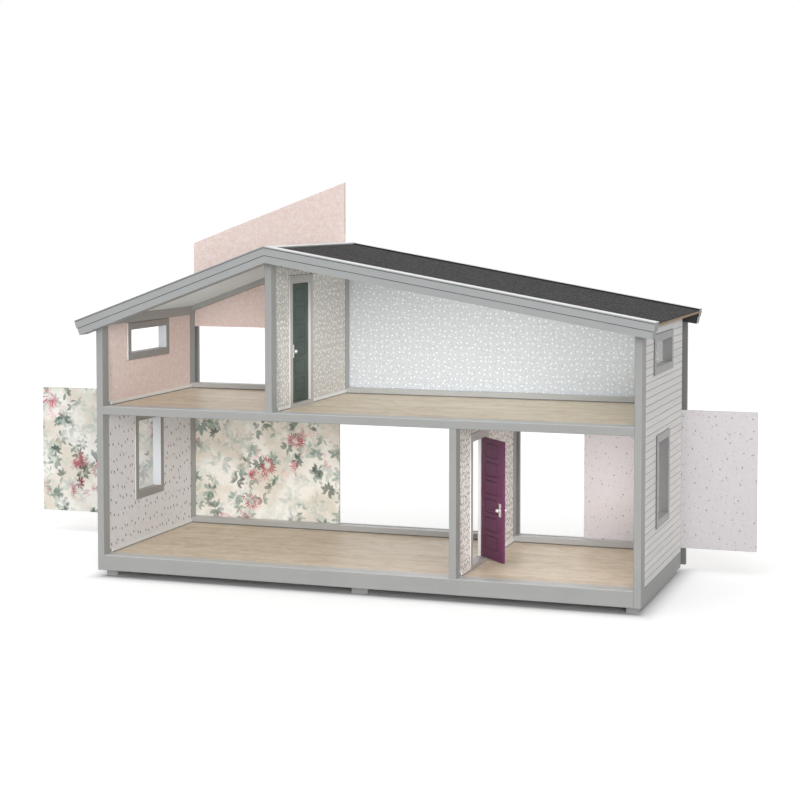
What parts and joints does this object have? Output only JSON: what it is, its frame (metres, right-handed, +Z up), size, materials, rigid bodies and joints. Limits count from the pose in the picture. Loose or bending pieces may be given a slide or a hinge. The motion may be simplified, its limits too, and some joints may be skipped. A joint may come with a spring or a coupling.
{
  "type": "wooden dollhouse",
  "caption": "Open-fronted wooden dollhouse with two storeys, off-centre gable roof, hinged inner doors, windows and printed back boards that slide in slots.",
  "frame": {"origin": "middle of the underside of the middle runner, on the surface that the house stands on", "axes": "+X to the right seen from the open front, +Y to the back, +Z up"},
  "size_m": [1.03, 0.316, 0.5046],
  "materials": {
    "spacer_paint": "matt near-black paint on solid wood",
    "grey_paint": "satin light grey paint on solid wood",
    "bargeboard_paint": "satin grey paint on moulded wood",
    "siding_paint": "pale grey printed siding on fibreboard",
    "window_paint": "satin mid grey paint",
    "door_frame_paint": "satin grey paint",
    "board_wood": "white-faced fibreboard",
    "roof_board": "fibreboard, white face below and bare brown edges",
    "shingle_print": "matt dark grey printed shingles",
    "floor_print": "printed light oak floor, satin",
    "pink_paper": "matt printed paper, mottled pink",
    "sprig_paper": "matt printed paper, small brown sprigs on pale pink",
    "taupe_paper": "matt printed paper, white dots on taupe",
    "leaf_paper": "matt printed paper, small dark leaves on pale ground",
    "floral_print": "matt printed floral paper on thin fibreboard",
    "speckle_print": "matt printed paper, sparse specks on pinkish grey",
    "pink_print": "matt printed paper, mottled pink",
    "dotted_print": "matt printed paper, white dots on taupe",
    "purple_paint": "satin purple paint",
    "green_paint": "satin grey-green paint",
    "nickel": "satin nickel plate",
    "steel": "zinc-plated steel"
  },
  "bodies": {
    "house": {"front_base_rail": "grey_paint", "rear_base_rail": "grey_paint", "left_base_rail": "grey_paint", "right_base_rail": "grey_paint", "base_runners": "grey_paint", "front_left_post": "grey_paint", "front_right_post": "grey_paint", "rear_left_post": "grey_paint", "rear_right_post": "grey_paint", "front_mid_rail": "grey_paint", "rear_mid_rail": "grey_paint", "lower_partition_front_post": "grey_paint", "lower_partition_rear_post": "grey_paint", "upper_partition_front_post": "grey_paint", "upper_partition_rear_post": "grey_paint", "rear_gable_rails": "grey_paint", "wall_top_rails": "grey_paint", "rear_outer_frame": "grey_paint", "skirtings": "grey_paint", "rear_spacers": "spacer_paint", "front_left_bargeboard": "bargeboard_paint", "front_right_bargeboard": "bargeboard_paint", "rear_left_bargeboard": "bargeboard_paint", "rear_right_bargeboard": "bargeboard_paint", "ridge_strip": "bargeboard_paint", "left_wall": "siding_paint", "right_wall": "siding_paint", "lower_left_window": "window_paint", "lower_right_window": "window_paint", "upper_left_window": "window_paint", "upper_right_window": "window_paint", "lower_door_frame": "door_frame_paint", "upper_door_frame": "door_frame_paint", "base_board": "board_wood", "upper_floor_board": "board_wood", "lower_partition_panel": "board_wood", "upper_partition_panel": "board_wood", "left_roof_panel": "roof_board", "right_roof_panel": "roof_board", "left_shingle_sheet": "shingle_print", "right_shingle_sheet": "shingle_print", "lower_left_floor_sheet": "floor_print", "lower_right_floor_sheet": "floor_print", "upper_left_floor_sheet": "floor_print", "upper_right_floor_sheet": "floor_print", "upper_left_wallpaper": "pink_paper", "lower_left_wallpaper": "sprig_paper", "upper_right_wallpaper": "taupe_paper", "lower_right_wallpaper": "leaf_paper", "lower_door_pins": "steel", "upper_door_pins": "steel", "rear_frame_screws": "steel"},
    "lower_left_board": {"lower_left_board": "floral_print"},
    "lower_right_board": {"lower_right_board": "speckle_print"},
    "upper_left_board": {"upper_left_board": "pink_print"},
    "upper_right_board": {"upper_right_board": "dotted_print"},
    "lower_door": {"lower_door_leaf": "purple_paint", "lower_door_knobs": "nickel"},
    "upper_door": {"upper_door_leaf": "green_paint", "upper_door_knobs": "nickel"}
  },
  "joints": [
    {"name": "lower_left_board_slide", "type": "slide", "parent": "house", "child": "lower_left_board", "axis": [-1, 0, 0], "range_m": [-0.243, 0.205]},
    {"name": "lower_right_board_slide", "type": "slide", "parent": "house", "child": "lower_right_board", "axis": [1, 0, 0], "range_m": [-0.093, 0.12]},
    {"name": "upper_left_board_slide", "type": "slide", "parent": "house", "child": "upper_left_board", "axis": [0, 0, 1], "range_m": [-0.0845, 0.075]},
    {"name": "upper_right_board_slide", "type": "slide", "parent": "house", "child": "upper_right_board", "axis": [0, 0, 1], "range_m": [0, 0.16]},
    {"name": "lower_door_hinge", "type": "hinge", "parent": "house", "child": "lower_door", "pos_m": [0.1244, -0.0119, 0.109], "axis": [0, 0, 1], "range_deg": [-43, 52]},
    {"name": "upper_door_hinge", "type": "hinge", "parent": "house", "child": "upper_door", "pos_m": [-0.1124, -0.0119, 0.299], "axis": [0, 0, 1], "range_deg": [0, 95]}
  ]
}
